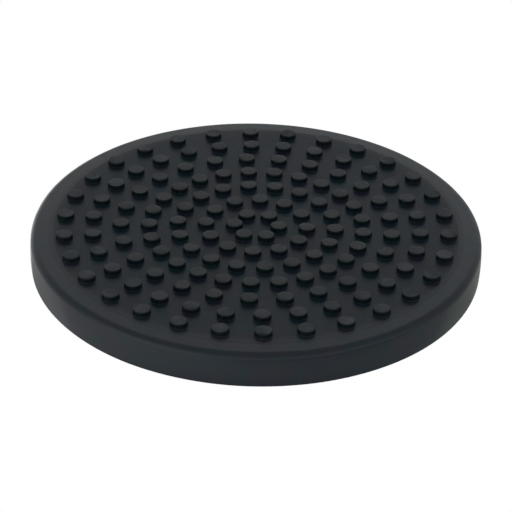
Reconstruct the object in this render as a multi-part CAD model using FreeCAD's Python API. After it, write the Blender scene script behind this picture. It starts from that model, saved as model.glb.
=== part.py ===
import FreeCAD, Part
import math
import os

# Round snowboard stomp pad: a moulded rubber pad with rings of grip studs, a foam tape disc in a
# recess under it, and a release liner in two halves over the tape. Millimetres. The origin is the
# centre of the liner's underside, +Z points up out of the studs, and every ring of studs starts on
# -Y. The liner is slit along X, and its halves pull out from under the pad along -Y and +Y.

# Driving dimensions of the moulding
foot_radius = 50.0            # outer radius at the bottom of the side wall
wall_draft = 0.1              # the wall leans in by this much over its height
wall_bulge = 0.2              # and swells out by this much at half its height
wall_height = 8.0             # bottom of the wall to the flat field that carries the studs
field_radius = 45.2           # the flat field ends here in a soft crease
border_fall = 0.33            # the smooth border drops by this much from the crease to the edge
edge_round = 1.5              # rounded edge between border and wall
foot_round = 0.15             # small round at the bottom of the wall

# Studs
stud_counts = [6, 12, 18, 25, 25, 30, 30]
first_ring_radius = 4.95
ring_pitch = 6.28
stud_top_diameter = 3.72
stud_foot_diameter = 3.90
stud_height = 1.16
stud_edge_round = 0.12
stud_root = 0.5               # how far a stud runs on into the field, to merge with it
start_angle = -90.0           # degrees from +X, where each ring has its first stud

# Underside, from the bottom up
liner_thickness = 0.13
tape_thickness = 1.10
tape_proud = 0.12             # the tape stands this far out below the lip, so the liner clears it
lip_width = 2.4               # rubber lip round the tape, pressed onto the board with it
tape_gap = 0.3                # all round, between the tape and the lip
recess_corner = 0.25          # round in the top corner of the recess
slit_width = 0.2              # knife slit between the liner halves

# Worked out from the above
lip_height = liner_thickness + tape_proud
recess_height = liner_thickness + tape_thickness
field_height = lip_height + wall_height
recess_radius = foot_radius - lip_width
tape_radius = recess_radius - tape_gap
axis_origin = FreeCAD.Vector(0, 0, 0)
up = FreeCAD.Vector(0, 0, 1)


def at(radius, height):
    """A point of a turned outline, in the XZ plane."""
    return FreeCAD.Vector(radius, 0, height)


def turned(points, bows=None):
    """The solid that a closed outline makes when it is turned about Z.

    Its sides are straight, except that bows gives a side's number and a point on the way, which
    the side then reaches in an arc.
    """
    sides = []
    for number, start in enumerate(points):
        end = points[(number + 1) % len(points)]
        if bows and number in bows:
            sides.append(Part.Arc(start, bows[number], end).toShape())
        else:
            sides.append(Part.LineSegment(start, end).toShape())
    return Part.Face(Part.Wire(sides)).revolve(axis_origin, up, 360)


def ring_edges(shape, radius, height):
    """The round edges of a turned solid that pass through this radius and height."""
    found = []
    for edge in shape.Edges:
        if edge.Length < 1.0 or not isinstance(edge.Curve, Part.Circle):
            continue
        centre = edge.Curve.Center
        if abs(edge.Curve.Radius - radius) < 0.01 and abs(centre.z - height) < 0.01:
            found.append(edge)
    return found


def pad_body():
    """The moulding without its studs: wall, border, field, and the recess for the tape."""
    top_radius = foot_radius - wall_draft
    border_height = field_height - border_fall
    wall_middle = at((foot_radius + top_radius) / 2 + wall_bulge, (lip_height + border_height) / 2)
    body = turned([
        at(0, recess_height),
        at(recess_radius, recess_height),
        at(recess_radius, lip_height),
        at(foot_radius, lip_height),
        at(top_radius, border_height),
        at(field_radius, field_height),
        at(0, field_height),
    ], bows={3: wall_middle})
    body = body.makeFillet(edge_round, ring_edges(body, top_radius, border_height))
    body = body.makeFillet(foot_round, ring_edges(body, foot_radius, lip_height))
    return body.makeFillet(recess_corner, ring_edges(body, recess_radius, recess_height))


def stud():
    """One stud on the Z axis, standing on the field, with a little draft and a rounded top edge."""
    foot = stud_foot_diameter / 2
    top = stud_top_diameter / 2
    top_height = field_height + stud_height
    shape = turned([
        at(0, field_height - stud_root),
        at(foot, field_height - stud_root),
        at(foot, field_height),
        at(top, top_height),
        at(0, top_height),
    ])
    return shape.makeFillet(stud_edge_round, ring_edges(shape, top, top_height))


def stud_places():
    """Centres of all studs, ring by ring."""
    places = []
    for ring, count in enumerate(stud_counts):
        radius = first_ring_radius + ring * ring_pitch
        for step in range(count):
            angle = math.radians(start_angle + step * 360.0 / count)
            places.append(FreeCAD.Vector(radius * math.cos(angle), radius * math.sin(angle), 0))
    return places


def grip_pad():
    pattern = stud()
    studs = []
    for place in stud_places():
        copy = pattern.copy()
        copy.translate(place)
        studs.append(copy)
    return pad_body().multiFuse(studs).removeSplitter()


def mounting_tape():
    return Part.makeCylinder(tape_radius, tape_thickness, at(0, liner_thickness))


def liner_half(side):
    """Half of the liner disc, on the +Y side for side 1 and on the -Y side for side -1."""
    disc = Part.makeCylinder(tape_radius, liner_thickness)
    across = 2 * foot_radius
    half_space = Part.makeBox(across, foot_radius, liner_thickness)
    low_y = slit_width / 2 if side > 0 else -slit_width / 2 - foot_radius
    half_space.translate(FreeCAD.Vector(-foot_radius, low_y, 0))
    return disc.common(half_space)


def write(name, shape):
    """Checks that a sub-part is one sound solid and writes its STEP file."""
    if len(shape.Solids) != 1 or not shape.isValid():
        raise RuntimeError(name + " is not one valid solid")
    shape.Solids[0].exportStep("parts/" + name + ".step")
    print(name, "volume in cm3:", round(shape.Volume / 1000, 2))


os.makedirs("parts", exist_ok=True)
write("grip_pad", grip_pad())
write("mounting_tape", mounting_tape())
write("liner_front", liner_half(-1))
write("liner_back", liner_half(1))
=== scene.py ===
import math
import random

import bpy
from mathutils import Matrix, Vector, geometry, noise


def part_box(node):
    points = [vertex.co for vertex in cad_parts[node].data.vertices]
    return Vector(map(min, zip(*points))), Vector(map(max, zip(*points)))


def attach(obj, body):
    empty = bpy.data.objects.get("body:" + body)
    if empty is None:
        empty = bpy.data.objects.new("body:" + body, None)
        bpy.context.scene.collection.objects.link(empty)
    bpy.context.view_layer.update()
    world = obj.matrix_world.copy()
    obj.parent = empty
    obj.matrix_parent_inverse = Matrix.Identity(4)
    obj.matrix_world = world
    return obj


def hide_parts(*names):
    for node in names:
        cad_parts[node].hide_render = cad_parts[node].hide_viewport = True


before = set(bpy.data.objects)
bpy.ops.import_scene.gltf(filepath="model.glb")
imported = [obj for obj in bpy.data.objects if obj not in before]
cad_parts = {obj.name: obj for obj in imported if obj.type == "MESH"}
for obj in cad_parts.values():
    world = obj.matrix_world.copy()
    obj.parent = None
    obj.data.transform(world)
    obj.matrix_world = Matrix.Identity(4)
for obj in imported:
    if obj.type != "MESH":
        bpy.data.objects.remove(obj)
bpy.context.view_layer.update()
MM = 0.001
TURN = 2 * math.pi

# ---------------------------------------------------------------- sizes, in metres
# The pieces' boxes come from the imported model, and most of the rest repeats the part's dimensions.
# The softer edges, the sag and the unevenness are only in this model.
pad_low, pad_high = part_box("grip_pad")
tape_low, tape_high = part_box("mounting_tape")
liner_low, liner_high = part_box("liner_front")

WALL_DRAFT = 0.1 * MM
WALL_BULGE = 0.2 * MM
FOOT_RADIUS = (pad_high.x - pad_low.x + WALL_DRAFT) / 2 - WALL_BULGE
FIELD_RADIUS = 45.2 * MM
CREASE_HALF = 0.21 * MM
FIELD_SAG = 0.2 * MM
BORDER_FALL = 0.33 * MM
EDGE_ROUND = 1.5 * MM
FOOT_ROUND = 0.15 * MM
LIP_WIDTH = 2.4 * MM
LIP_ROUND = 0.15 * MM
RECESS_CORNER = 0.25 * MM
CREASE_ROUND = 2.5 * MM
CREASE_RING = 0.9 * MM        # the crease's own finish runs this far out from the field

STUD_COUNTS = [6, 12, 18, 25, 25, 30, 30]
FIRST_RING_RADIUS = 4.95 * MM
RING_PITCH = 6.28 * MM
START_ANGLE = -TURN / 4
STUD_HEIGHT = 1.16 * MM
STUD_FOOT_RADIUS = 1.95 * MM
STUD_TOP_RADIUS = 1.86 * MM
STUD_EDGE_ROUND = 0.17 * MM
STUD_FOOT_FILLET = 0.10 * MM
STUD_DISH = 0.02 * MM

# Slight unevenness of the moulding
STUD_SHORT = 0.03 * MM        # the most that a stud stands lower
STUD_LEAN = 0.034             # the most that its top slopes, along X and along Y
STUD_SPREAD = 0.008           # the largest relative change of its radius at the top
NICK_SIZE = 0.9 * MM          # width of the nicks in a stud's rim
NICK_DEPTH = 0.05 * MM
NICK_OFFSET = 0.03 * MM       # how far down and in the rim lies on average
SWELL_SIZE = 14 * MM          # width of the waves in the wall and the border
SWELL_HEIGHT = 0.05 * MM

FIELD_HEIGHT = pad_high.z - STUD_HEIGHT
TAPE_RADIUS = (tape_high.x - tape_low.x) / 2
TAPE_CORNER = 0.12 * MM
TAPE_BULGE = 0.06 * MM
TAPE_EDGE_ROUND = 0.8 * MM    # round in the middle of the tape's edge, where it bulges most
TAPE_WAVE_SIZE = 5 * MM       # width of the waves in the tape's edge
TAPE_WAVE_DEPTH = 0.05 * MM
TAPE_WAVE_OFFSET = 0.03 * MM  # how far in the edge lies on average
SLIT = 0.2 * MM
LINER_SHARES = [0.25, 0.5, 0.75, 0.92, 1.0]     # where its arcs of vertices lie on the way out

# Vertices round a stud, round the pad and round the tape, and steps along a liner half's arc
STUD_STEPS = 30
PAD_STEPS = 288
TAPE_STEPS = 192
LINER_STEPS = 96

# Material slots of the moulding
SMOOTH, SATIN, ETCHED, HALF_SMOOTH = range(4)

# ---------------------------------------------------------------- mesh helpers


def rounded(corners, steps=6, guard=0.07 * MM):
    """An outline of (radius, height, round) corners as (radius, height) points.

    Each corner with a round becomes a tangent arc. A guard point just outside each end of an arc
    keeps the flat stretches beside it flat in smooth shading.
    """
    points = []
    last = len(corners) - 1
    for i, (x, z, size) in enumerate(corners):
        here = Vector((x, z))
        if size == 0 or i in (0, last):
            points.append(here)
            continue
        u = (Vector(corners[i - 1][:2]) - here).normalized()
        v = (Vector(corners[i + 1][:2]) - here).normalized()
        half = u.angle(v) / 2
        back = size / math.tan(half)
        centre = here + (u + v).normalized() * (size / math.sin(half))
        start = here + u * back - centre
        end = here + v * back - centre
        points.append(here + u * (back + guard))
        for step in range(steps + 1):
            share = step / steps
            spoke = (start * (1 - share) + end * share).normalized() * size
            points.append(centre + spoke)
        points.append(here + v * (back + guard))
    return points


def divided(points, longest):
    """The same outline, with the stretches over this length cut into equal shorter ones."""
    result = [points[0]]
    for start, end in zip(points, points[1:]):
        parts = math.ceil((end - start).length / longest)
        result.extend(start.lerp(end, part / parts) for part in range(1, parts + 1))
    return result


def ring(vertices, centre, radius, height, count):
    """Adds a level circle of vertices and returns their indices."""
    first = len(vertices)
    for step in range(count):
        angle = TURN * step / count
        vertices.append(Vector((
            centre[0] + radius * math.cos(angle),
            centre[1] + radius * math.sin(angle),
            height,
        )))
    return list(range(first, first + count))


def bridge(faces, outer, inner):
    """Quads between two rings of the same count, facing up or out when inner lies inside outer."""
    count = len(outer)
    for i in range(count):
        j = (i + 1) % count
        faces.append((outer[i], outer[j], inner[j], inner[i]))


def cap(vertices, faces, loop, centre, height):
    """Closes a ring with a fan to its centre."""
    vertices.append(Vector((centre[0], centre[1], height)))
    tip = len(vertices) - 1
    for i in range(len(loop)):
        faces.append((loop[i], loop[(i + 1) % len(loop)], tip))


def mesh_object(name, vertices, faces, material):
    """A smooth-shaded piece in the scene with one material."""
    mesh = bpy.data.meshes.new(name)
    mesh.from_pydata(vertices, [], faces)
    mesh.validate()
    mesh.polygons.foreach_set("use_smooth", [True] * len(mesh.polygons))
    mesh.update()
    mesh.materials.append(material)
    obj = bpy.data.objects.new(name, mesh)
    bpy.context.scene.collection.objects.link(obj)
    return obj


def ripple(point, size, height, seed):
    """A smooth random offset of up to about height, with swells about size wide."""
    at = Vector(point) / size + Vector((seed, seed * 0.7, seed * 1.3))
    return noise.noise(at) * height


# ---------------------------------------------------------------- node helpers


class Nodes:
    """A short way to write a node tree, from an empty one with its output and one shader."""

    def __init__(self, owner, output, shader, place):
        owner.use_nodes = True
        self.tree = owner.node_tree
        self.tree.nodes.clear()
        self.shader = self.add(shader)
        self.link(self.shader.outputs[0], self.add(output).inputs["Surface"])
        self.place = self.add("ShaderNodeTexCoord").outputs[place]

    def add(self, kind):
        return self.tree.nodes.new(kind)

    def link(self, source, target):
        self.tree.links.new(source, target)

    def feed(self, socket, value):
        if isinstance(value, bpy.types.NodeSocket):
            self.link(value, socket)
        else:
            socket.default_value = value

    def noise(self, size, detail=2.0, roughness=0.5, distortion=0.0, place=None):
        """Noise with features about size metres wide, from 0 to 1."""
        node = self.add("ShaderNodeTexNoise")
        node.inputs["Scale"].default_value = 1 / size
        node.inputs["Detail"].default_value = detail
        node.inputs["Roughness"].default_value = roughness
        node.inputs["Distortion"].default_value = distortion
        self.link(place or self.place, node.inputs["Vector"])
        return node.outputs["Fac"]

    def cells(self, size):
        """Distance to the nearest of scattered points about size metres apart."""
        node = self.add("ShaderNodeTexVoronoi")
        node.inputs["Scale"].default_value = 1 / size
        self.link(self.place, node.inputs["Vector"])
        return node.outputs["Distance"]

    def math(self, operation, a, b=0.0):
        node = self.add("ShaderNodeMath")
        node.operation = operation
        self.feed(node.inputs[0], a)
        self.feed(node.inputs[1], b)
        return node.outputs[0]

    def product(self, first, *rest):
        """These values multiplied together."""
        for value in rest:
            first = self.math("MULTIPLY", first, value)
        return first

    def span(self, value, low, high, to_low=0.0, to_high=1.0):
        """Maps low..high to to_low..to_high with smooth ends."""
        node = self.add("ShaderNodeMapRange")
        node.interpolation_type = "SMOOTHSTEP"
        self.feed(node.inputs["Value"], value)
        numbers = {"From Min": low, "From Max": high, "To Min": to_low, "To Max": to_high}
        for name, number in numbers.items():
            node.inputs[name].default_value = number
        return node.outputs["Result"]

    def mix(self, share, a, b):
        """Colour a where share is 0 and colour b where it is 1."""
        node = self.add("ShaderNodeMix")
        node.data_type = "RGBA"
        self.feed(node.inputs[0], share)
        for socket, colour in ((node.inputs[6], a), (node.inputs[7], b)):
            self.feed(socket, (*colour, 1.0) if isinstance(colour, tuple) else colour)
        return node.outputs[2]

    def split(self):
        """The x, y and z of a place, or of a direction of view."""
        node = self.add("ShaderNodeSeparateXYZ")
        self.link(self.place, node.inputs[0])
        return node.outputs

    def dot(self, direction):
        """How far a place, or a direction of view, lies along this direction."""
        node = self.add("ShaderNodeVectorMath")
        node.operation = "DOT_PRODUCT"
        node.inputs[1].default_value = direction
        self.link(self.place, node.inputs[0])
        return node.outputs["Value"]

    def bump(self, height, depth, below=None):
        """A normal from a 0..1 height worth depth metres."""
        node = self.add("ShaderNodeBump")
        node.inputs["Distance"].default_value = depth
        self.link(height, node.inputs["Height"])
        if below is not None:
            self.link(below, node.inputs["Normal"])
        return node.outputs["Normal"]


def material_nodes(name):
    """A new material and its node tree, placed by the piece's own coordinates."""
    material = bpy.data.materials.new(name)
    nodes = Nodes(material, "ShaderNodeOutputMaterial", "ShaderNodeBsdfPrincipled", "Object")
    return material, nodes


# ---------------------------------------------------------------- materials


# Rubber colours, all near black but the specks
TEAL = (0.0050, 0.0200, 0.0270)
PLUM = (0.0125, 0.0155, 0.0270)
BLUE = (0.0060, 0.0170, 0.0300)
# painted shade: the darker colour of the stud sides stands in for the shade on them
STUD_SIDE_PAINTED_SHADE = (0.0045, 0.0110, 0.0145)
# painted light: the lighter grey painted on the field's outer part
RIM_PAINTED_LIGHT = (0.0210, 0.0270, 0.0330)
WORN_TOP = (0.0010, 0.0080, 0.0190)
PALE_TOP = (0.0290, 0.0370, 0.0470)
BLOOM = (0.026, 0.032, 0.042)
SPECK = (0.10, 0.10, 0.095)


def rubber_colour(n, radius, height, on_top, wall, rim_painted_light):
    """Cool clouds, painted shade on stud sides, painted light near the field's rim, varied stud tops,
    a thin grey bloom and a few pale specks.
    """
    clouds = n.noise(6 * MM, detail=3, distortion=0.5)
    blotches = n.noise(2.5 * MM, detail=3)
    colour = n.mix(n.span(clouds, 0.40, 0.60), TEAL, PLUM)
    colour = n.mix(n.span(blotches, 0.35, 0.70, 0, 0.5), colour, BLUE)

    # Painted shade: the stud sides, up from the field, are coloured darker
    side = n.span(height, FIELD_HEIGHT + 0.05 * MM, FIELD_HEIGHT + 0.3 * MM)
    colour = n.mix(n.math("SUBTRACT", side, on_top), colour, STUD_SIDE_PAINTED_SHADE)
    # Painted light: the field's outer part is painted lighter grey towards the border, where the studs
    # shade it less
    painted_rim_light = n.span(radius, FIELD_RADIUS - 2.6 * MM, FIELD_RADIUS, 0, rim_painted_light)
    colour = n.mix(n.product(painted_rim_light, n.math("SUBTRACT", 1.0, side)), colour, RIM_PAINTED_LIGHT)

    worn = n.span(n.noise(0.9 * MM, detail=5), 0.3, 0.7, 0.35, 0.85)
    colour = n.mix(n.product(on_top, worn), colour, WORN_TOP)
    pale = n.span(n.noise(7 * MM, detail=1), 0.44, 0.58)
    colour = n.mix(n.product(on_top, pale), colour, PALE_TOP)

    bloom = n.span(n.noise(0.5 * MM, detail=6, roughness=0.7), 0.60, 0.80, 0, 0.25)
    colour = n.mix(bloom, colour, BLOOM)
    specks = n.span(n.cells(1.9 * MM), 0.035, 0.06, 1, 0)
    rare = n.math("ADD", n.span(n.noise(9 * MM), 0.56, 0.66), n.product(wall, 0.3))
    return n.mix(n.product(specks, rare), colour, SPECK)


def rubber_roughness(n, grain, swirl, on_top, border, wall):
    """A fine satin grain, duller in patches on the stud tops, smoother on the border and the wall."""
    both = n.math("ADD", n.product(grain, 0.5), n.product(swirl, 0.5))
    rough = n.span(both, 0.3, 0.7, 0.32, 0.42)
    dull = n.span(n.noise(5 * MM), 0.35, 0.65, 0.0, 0.16)
    rough = n.math("ADD", rough, n.product(on_top, dull))
    rough = n.math("SUBTRACT", rough, n.product(border, 0.03))
    return n.math("SUBTRACT", rough, n.product(wall, 0.21))


def rubber_material(name, gloss, rim_painted_light=0.0):
    """Black rubber. gloss is its reflections' strength; the last argument paints the field's outer
    part lighter grey, as painted light where the studs shade it less.
    """
    material, n = material_nodes(name)
    x, y, height = n.split()
    radius = n.math("SQRT", n.math("ADD", n.product(x, x), n.product(y, y)))
    on_top = n.span(height, FIELD_HEIGHT + 0.8 * STUD_HEIGHT, FIELD_HEIGHT + STUD_HEIGHT)
    border = n.span(radius, FIELD_RADIUS, FIELD_RADIUS + 1.4 * MM)
    low = n.span(height, FIELD_HEIGHT - 2.2 * MM, FIELD_HEIGHT - 1.0 * MM, 1, 0)
    wall = n.product(border, low)
    grain = n.noise(0.16 * MM, detail=3, roughness=0.65)
    swirl = n.noise(3.5 * MM, detail=3, distortion=0.8)

    colour = rubber_colour(n, radius, height, on_top, wall, rim_painted_light)
    n.feed(n.shader.inputs["Base Color"], colour)
    rough = rubber_roughness(n, grain, swirl, on_top, border, wall)
    n.feed(n.shader.inputs["Roughness"], rough)
    n.shader.inputs["Specular IOR Level"].default_value = gloss
    unevenness = n.bump(swirl, 0.03 * MM)
    n.feed(n.shader.inputs["Normal"], n.bump(grain, 0.008 * MM, unevenness))
    return material


def tape_material():
    material, n = material_nodes("acrylic_foam_tape")
    cells = n.cells(0.16 * MM)
    clouds = n.noise(6 * MM, detail=3)
    colour = n.mix(n.span(clouds, 0.35, 0.65), (0.15, 0.155, 0.16), (0.19, 0.192, 0.195))
    colour = n.mix(n.span(cells, 0.15, 0.5, 0.5, 0), colour, (0.10, 0.10, 0.105))
    n.feed(n.shader.inputs["Base Color"], colour)
    n.feed(n.shader.inputs["Roughness"], n.span(n.noise(1.5 * MM, detail=4), 0.3, 0.7, 0.32, 0.5))
    relief = n.bump(n.noise(4 * MM, detail=2), 0.05 * MM)
    n.feed(n.shader.inputs["Normal"], n.bump(cells, 0.02 * MM, relief))
    return material


def liner_material():
    material, n = material_nodes("silicone_release_paper")
    stretched = n.add("ShaderNodeMapping")
    stretched.inputs["Scale"].default_value = (0.25, 1.0, 1.0)
    n.link(n.place, stretched.inputs["Vector"])
    fibres = n.noise(0.35 * MM, detail=5, roughness=0.7, distortion=0.6, place=stretched.outputs[0])
    clouds = n.noise(5 * MM, detail=4)
    colour = n.mix(n.span(clouds, 0.3, 0.7), (0.82, 0.75, 0.57), (0.88, 0.82, 0.65))
    colour = n.mix(n.span(fibres, 0.45, 0.75, 0, 0.35), colour, (0.70, 0.61, 0.44))
    n.feed(n.shader.inputs["Base Color"], colour)
    n.feed(n.shader.inputs["Roughness"], n.span(fibres, 0.3, 0.7, 0.30, 0.42))
    relief = n.bump(n.noise(9 * MM, detail=2), 0.10 * MM)
    n.feed(n.shader.inputs["Normal"], n.bump(fibres, 0.008 * MM, relief))
    return material


def floor_material():
    material, n = material_nodes("studio_floor")
    n.shader.inputs["Base Color"].default_value = (0, 0, 0, 1)
    n.shader.inputs["Specular IOR Level"].default_value = 0
    n.shader.inputs["Emission Color"].default_value = (1, 1, 1, 1)
    n.shader.inputs["Emission Strength"].default_value = 1.0
    return material


# ---------------------------------------------------------------- the rubber moulding


def stud_centres():
    for index, count in enumerate(STUD_COUNTS):
        radius = FIRST_RING_RADIUS + index * RING_PITCH
        for step in range(count):
            angle = START_ANGLE + TURN * step / count
            yield radius * math.cos(angle), radius * math.sin(angle)


def stud_outline():
    """From the flat field up the stud and in over its slightly dished top, short of its centre."""
    out = STUD_FOOT_RADIUS + 1.25 * STUD_FOOT_FILLET
    top = FIELD_HEIGHT + STUD_HEIGHT
    flat = STUD_TOP_RADIUS - 1.3 * STUD_EDGE_ROUND
    points = rounded([
        (out, FIELD_HEIGHT, 0),
        (STUD_FOOT_RADIUS, FIELD_HEIGHT, STUD_FOOT_FILLET),
        (STUD_TOP_RADIUS, top, STUD_EDGE_ROUND),
        (flat, top, 0),
    ], steps=3, guard=0.03 * MM)
    for share in (0.7, 0.35):
        points.append(Vector((share * flat, top - STUD_DISH * (1 - share * share))))
    return points


def pad_outline():
    """From the flat field out over the border, down the wall and under to the recess's ceiling."""
    border_height = FIELD_HEIGHT - BORDER_FALL
    recess = FOOT_RADIUS - LIP_WIDTH
    outline = divided(rounded([
        (FIELD_RADIUS - CREASE_HALF, FIELD_HEIGHT, 0),
        (FIELD_RADIUS, FIELD_HEIGHT, CREASE_ROUND),
        (FOOT_RADIUS - WALL_DRAFT, border_height, EDGE_ROUND),
        (FOOT_RADIUS, pad_low.z, FOOT_ROUND),
        (recess, pad_low.z, LIP_ROUND),
        (recess, tape_high.z, RECESS_CORNER),
        (0.9 * recess, tape_high.z, 0),
    ], steps=8), 1.0 * MM)
    for point in outline:
        share = (point.y - pad_low.z) / (border_height - pad_low.z)
        if point.x > recess + 0.5 * MM and 0 < share < 1:
            point.x += WALL_BULGE * 4 * share * (1 - share)
    return outline


def field_faces(vertices, feet, edge):
    """Triangles over the field between its edge and the studs' feet, which stay open."""
    loops = feet + [edge]
    links = [(loop[i], loop[(i + 1) % len(loop)]) for loop in loops for i in range(len(loop))]
    flat = [Vector((v.x, v.y)) / MM for v in vertices]
    made = geometry.delaunay_2d_cdt(flat, links, [], 1, 1e-5)
    triangles, sources = made[2], made[3]
    back = [source[0] for source in sources]
    owner = {index: number for number, loop in enumerate(feet) for index in loop}
    faces = []
    for triangle in triangles:
        corners = [back[i] for i in triangle]
        owners = {owner.get(i) for i in corners}
        if len(owners) > 1 or None in owners:
            faces.append(tuple(corners))
    return faces


def add_stud(vertices, faces, centre, foot, outline):
    """One stud from its foot up, with its own slight height, lean and nicks."""
    lift = random.uniform(-1.0, 0.0) * STUD_SHORT
    lean = Vector((random.uniform(-1, 1), random.uniform(-1, 1))) * STUD_LEAN
    spread = random.uniform(-STUD_SPREAD, STUD_SPREAD)
    loop = foot
    for point in outline[1:]:
        rise = (point.y - FIELD_HEIGHT) / STUD_HEIGHT
        upper = ring(vertices, centre, point.x * (1 + spread * rise), point.y, STUD_STEPS)
        on_rim = rise > 0.8 and point.x > 0.8 * STUD_TOP_RADIUS
        for index in upper:
            v = vertices[index]
            tilt = (v.x - centre[0]) * lean.x + (v.y - centre[1]) * lean.y
            v.z += max(0.0, rise) * (lift + min(0.0, tilt))
            if on_rim:
                nick = ripple(v, NICK_SIZE, NICK_DEPTH, seed=5) - NICK_OFFSET
                v.z += nick
                v.x += nick * (v.x - centre[0]) / point.x
                v.y += nick * (v.y - centre[1]) / point.x
        bridge(faces, loop, upper)
        loop = upper
    cap(vertices, faces, loop, centre, FIELD_HEIGHT + STUD_HEIGHT - STUD_DISH + lift)


def add_rim(vertices, faces, edge, outline):
    """The border, the wall and the underside, closed across the recess's ceiling."""
    loop = edge
    for point in outline[1:]:
        lower = ring(vertices, (0, 0), point.x, point.y, PAD_STEPS)
        bridge(faces, lower, loop)
        loop = lower
    vertices.append(Vector((0, 0, outline[-1].y)))
    tip = len(vertices) - 1
    for i in range(PAD_STEPS):
        faces.append((loop[(i + 1) % PAD_STEPS], loop[i], tip))


def set_finish(face):
    """Satin on a stud's top, etched on the field and stud sides, half smooth at the crease."""
    radius = math.hypot(face.center.x, face.center.y)
    if face.center.z < FIELD_HEIGHT - BORDER_FALL or radius > FIELD_RADIUS + CREASE_RING:
        face.material_index = SMOOTH
    elif face.center.z > FIELD_HEIGHT + 0.93 * STUD_HEIGHT:
        face.material_index = SATIN
    elif radius > FIELD_RADIUS - CREASE_HALF:
        face.material_index = HALF_SMOOTH
    else:
        face.material_index = ETCHED


def build_pad(materials):
    """The moulding as one closed mesh, with its materials in the order of the slots."""
    vertices = []
    centres = list(stud_centres())
    stud = stud_outline()
    rim = pad_outline()
    feet = [ring(vertices, centre, stud[0].x, stud[0].y, STUD_STEPS) for centre in centres]
    edge = ring(vertices, (0, 0), rim[0].x, rim[0].y, PAD_STEPS)
    faces = field_faces(vertices, feet, edge)
    random.seed(7)
    for centre, foot in zip(centres, feet):
        add_stud(vertices, faces, centre, foot, stud)
    add_rim(vertices, faces, edge, rim)

    pad = mesh_object("stomp_pad_moulding", vertices, faces, materials[0])
    for material in materials[1:]:
        pad.data.materials.append(material)
    for face in pad.data.polygons:
        set_finish(face)
    soften(pad)
    return pad


def soften(pad):
    """The slight unevenness of a rubber moulding: a field that sags, and a wavy wall and border."""
    for vertex in pad.data.vertices:
        co = vertex.co
        radius = math.hypot(co.x, co.y)
        if radius < FIELD_RADIUS and co.z > FIELD_HEIGHT - BORDER_FALL:
            co.z -= FIELD_SAG * (1 - (radius / FIELD_RADIUS) ** 2)
        if radius > FIELD_RADIUS + MM:
            swell = ripple(co, SWELL_SIZE, SWELL_HEIGHT, seed=3)
            co.x += co.x / radius * swell
            co.y += co.y / radius * swell
    pad.data.update()


# ---------------------------------------------------------------- tape and liner


def build_tape(material):
    """The foam tape disc: a die-cut edge that bulges slightly between two soft corners."""
    middle = (tape_low.z + tape_high.z) / 2
    outline = rounded([
        (0.6 * TAPE_RADIUS, tape_high.z, 0),
        (TAPE_RADIUS - TAPE_BULGE, tape_high.z, TAPE_CORNER),
        (TAPE_RADIUS, middle, TAPE_EDGE_ROUND),
        (TAPE_RADIUS - TAPE_BULGE, tape_low.z, TAPE_CORNER),
        (0.6 * TAPE_RADIUS, tape_low.z, 0),
    ], steps=4, guard=0.02 * MM)
    vertices = []
    faces = []
    loops = [ring(vertices, (0, 0), p.x, p.y, TAPE_STEPS) for p in outline]
    for upper, lower in zip(loops, loops[1:]):
        bridge(faces, lower, upper)
    cap(vertices, faces, loops[0], (0, 0), tape_high.z)
    cap(vertices, faces, loops[-1][::-1], (0, 0), tape_low.z)
    tape = mesh_object("foam_tape_disc", vertices, faces, material)
    for vertex in tape.data.vertices:
        radius = math.hypot(vertex.co.x, vertex.co.y)
        if radius > 0.9 * TAPE_RADIUS:
            wave = ripple(vertex.co, TAPE_WAVE_SIZE, TAPE_WAVE_DEPTH, seed=11) - TAPE_WAVE_OFFSET
            vertex.co.x *= 1 + wave / radius
            vertex.co.y *= 1 + wave / radius
    return tape


def build_liner(name, side, material):
    """Half a disc of release paper with a knife-cut straight edge. side is -1 in front, 1 behind."""
    cut = SLIT / 2
    vertices = []
    faces = []
    layers = []
    for height in (liner_low.z, liner_high.z):
        vertices.append(Vector((0, side * cut, height)))
        hub = len(vertices) - 1
        arcs = []
        for share in LINER_SHARES:
            arc = []
            for step in range(LINER_STEPS + 1):
                angle = math.pi * step / LINER_STEPS
                reach = math.sqrt(TAPE_RADIUS ** 2 - (cut * math.cos(angle)) ** 2)
                reach -= cut * math.sin(angle)
                x = share * reach * math.cos(angle)
                y = cut + share * reach * math.sin(angle)
                arc.append(len(vertices))
                vertices.append(Vector((x, side * y, height)))
            arcs.append(arc)
        layers.append((hub, arcs))
    for level, (hub, arcs) in enumerate(layers):
        flip = (level == 0) == (side > 0)
        for step in range(LINER_STEPS):
            sheet = [(hub, arcs[0][step], arcs[0][step + 1])]
            for near, far in zip(arcs, arcs[1:]):
                sheet.append((near[step], far[step], far[step + 1], near[step + 1]))
            faces.extend(face[::-1] if flip else face for face in sheet)
    rims = []
    for hub, arcs in layers:
        starts = [arc[0] for arc in arcs]
        ends = [arc[-1] for arc in reversed(arcs)]
        rims.append([hub] + starts + arcs[-1][1:-1] + ends)
    for i in range(len(rims[0])):
        j = (i + 1) % len(rims[0])
        edge = (rims[0][i], rims[0][j], rims[1][j], rims[1][i])
        faces.append(edge if side > 0 else edge[::-1])
    liner = mesh_object(name, vertices, faces, material)
    liner.data.polygons.foreach_set("use_smooth", [False] * len(liner.data.polygons))
    return liner


# ---------------------------------------------------------------- view and light

VIEW_AZIMUTH = math.radians(-26.6)
VIEW_ELEVATION = math.radians(31.09)
VIEW_DISTANCE = 0.4792
VIEW_ROLL = math.radians(1.33)
VIEW_LENS = 151.6
AIM_RIGHT = 0.05 * MM
AIM_AWAY = -12.17 * MM
FLOOR_WIDTH = 6
FLOOR_GAP = 0.02 * MM


def seen(right, away, height):
    """A place from the view's own axes: to the right, away from the camera, and up."""
    turn = Matrix.Rotation(VIEW_AZIMUTH, 3, "Z")
    return turn @ Vector((right, away, height))


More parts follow.
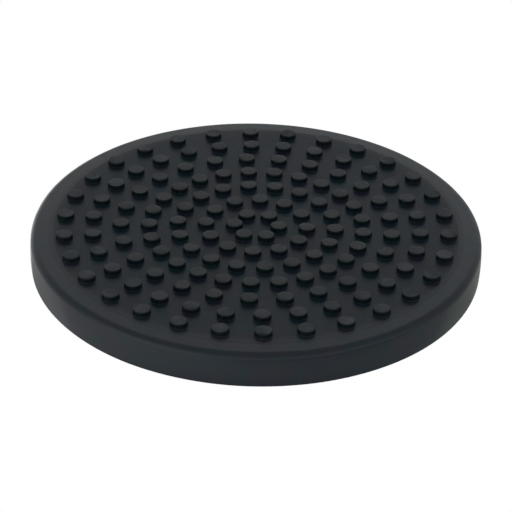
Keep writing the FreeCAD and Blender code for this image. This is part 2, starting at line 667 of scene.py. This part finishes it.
def make_camera():
    level = VIEW_DISTANCE * math.cos(VIEW_ELEVATION)
    rise = VIEW_DISTANCE * math.sin(VIEW_ELEVATION)
    data = bpy.data.cameras.new("camera")
    data.lens = VIEW_LENS
    data.sensor_width = 36.0
    data.clip_start = 0.01
    camera = bpy.data.objects.new("camera", data)
    camera.location = seen(0, -level, FIELD_HEIGHT + rise)
    target = seen(AIM_RIGHT, AIM_AWAY, FIELD_HEIGHT)
    aim = (target - camera.location).to_track_quat("-Z", "Y").to_matrix()
    camera.rotation_euler = (aim @ Matrix.Rotation(VIEW_ROLL, 3, "Z")).to_euler()
    bpy.context.scene.collection.objects.link(camera)
    bpy.context.scene.camera = camera


def upper_light(n, across, away, height):
    """Strength of the tent above the horizon, which the pad's flat faces and border reflect."""
    even = 0.42
    backdrop = n.product(
        n.span(away, 0.35, 0.75, 0.0, 0.28),
        n.span(n.math("ABSOLUTE", across), 0.25, 0.60, 1.0, 0.4),
        n.span(height, 0.42, 0.60, 1.22, 0.86),
    )
    low_front = n.product(
        n.span(away, -0.4, 0.1, 0.33, 0.0),
        n.span(height, 0.25, 0.75, 1, 0),
        n.span(across, -0.8, -0.1, 2.2, 1.0),
    )
    return n.math("ADD", n.math("ADD", backdrop, low_front), even)


def lower_light(n, across, away, height):
    """Strength of the tent below the horizon, where it stands in for the floor round the pad."""
    near_horizon = n.product(
        n.span(height, -0.52, -0.36),
        n.span(away, -0.4, -0.1, 1, 0),
        n.span(across, -0.5, 0.0, 0.05, -0.32),
    )
    far_left = n.product(n.span(away, 0.77, 0.85), n.span(across, -0.3, 0.1, 2.4, 0.0))
    low_far = n.product(n.span(away, 0.45, 0.75), n.span(height, -0.60, -0.44, 0.48, 0.0))
    low_far_left = n.product(
        n.span(away, 0.73, 0.81),
        n.span(height, -0.62, -0.46, 0.85, 0.0),
        n.span(across, -0.15, 0.05, 1, 0),
    )
    return n.product(
        n.span(across, -1, 1, 0.74, 0.50),
        n.span(away, -0.5, 0.8, 1.05, 0.63),
        n.span(height, -0.9, -0.6, 0.1, 1.0),
        n.span(height, -0.8, -0.3, 0.84, 1.08),
        n.span(away, 0.28, 0.33, 1.0, 1.24),
        n.math("ADD", near_horizon, 1.0),
        n.math("ADD", far_left, 1.0),
        n.math("SUBTRACT", 1.0, low_far),
        n.math("SUBTRACT", 1.0, low_far_left),
    )


def make_tent():
    """Soft light from all round, from a white tent that is brighter in some directions than others.

    across, away and height say how far a direction points to the right, away from the camera and
    up. The far right of the lower half is very slightly green.
    """
    world = bpy.data.worlds.new("studio")
    n = Nodes(world, "ShaderNodeOutputWorld", "ShaderNodeBackground", "Generated")
    height = n.split()[2]
    across = n.dot(seen(1, 0, 0))
    away = n.dot(seen(0, 1, 0))
    light = n.add("ShaderNodeMix")
    n.link(n.span(height, -0.05, 0.05), light.inputs["Factor"])
    n.link(lower_light(n, across, away, height), light.inputs["A"])
    n.link(upper_light(n, across, away, height), light.inputs["B"])
    n.link(light.outputs["Result"], n.shader.inputs["Strength"])
    tint = n.product(
        n.span(away, 0.25, 0.45),
        n.span(across, 0.1, 0.5),
        n.span(height, -0.1, 0.0, 1, 0),
    )
    n.feed(n.shader.inputs["Color"], n.mix(tint, (0.8, 0.8, 0.8), (0.79, 0.84, 0.76)))
    bpy.context.scene.world = world


def make_floor():
    """A plain white floor that takes no shadow and isn't seen in reflections."""
    level = liner_low.z - FLOOR_GAP
    bpy.ops.mesh.primitive_plane_add(size=FLOOR_WIDTH, location=(0, 0, level))
    floor = bpy.context.object
    floor.name = "floor"
    floor.data.materials.append(floor_material())
    floor.visible_diffuse = False
    floor.visible_glossy = False
    floor.visible_shadow = False


# ---------------------------------------------------------------- assembly

make_camera()
make_tent()
make_floor()
bpy.context.scene.view_settings.view_transform = "Standard"

rubber = {
    SMOOTH: rubber_material("smooth_black_rubber", gloss=0.50),
    SATIN: rubber_material("satin_black_rubber", gloss=0.345),
    # the etched rubber carries the painted light on the field's outer part
    ETCHED: rubber_material("etched_black_rubber", gloss=0.23, rim_painted_light=1.0),
    HALF_SMOOTH: rubber_material("half_smooth_black_rubber", gloss=0.42),
}
foam = tape_material()
paper = liner_material()

pad_piece = build_pad([rubber[slot] for slot in sorted(rubber)])
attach(pad_piece, "pad")
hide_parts("grip_pad")

tape_piece = build_tape(foam)
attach(tape_piece, "pad")
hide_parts("mounting_tape")

for node, side in (("liner_front", -1), ("liner_back", 1)):
    liner_piece = build_liner(node + "_paper", side, paper)
    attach(liner_piece, node)
    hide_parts(node)
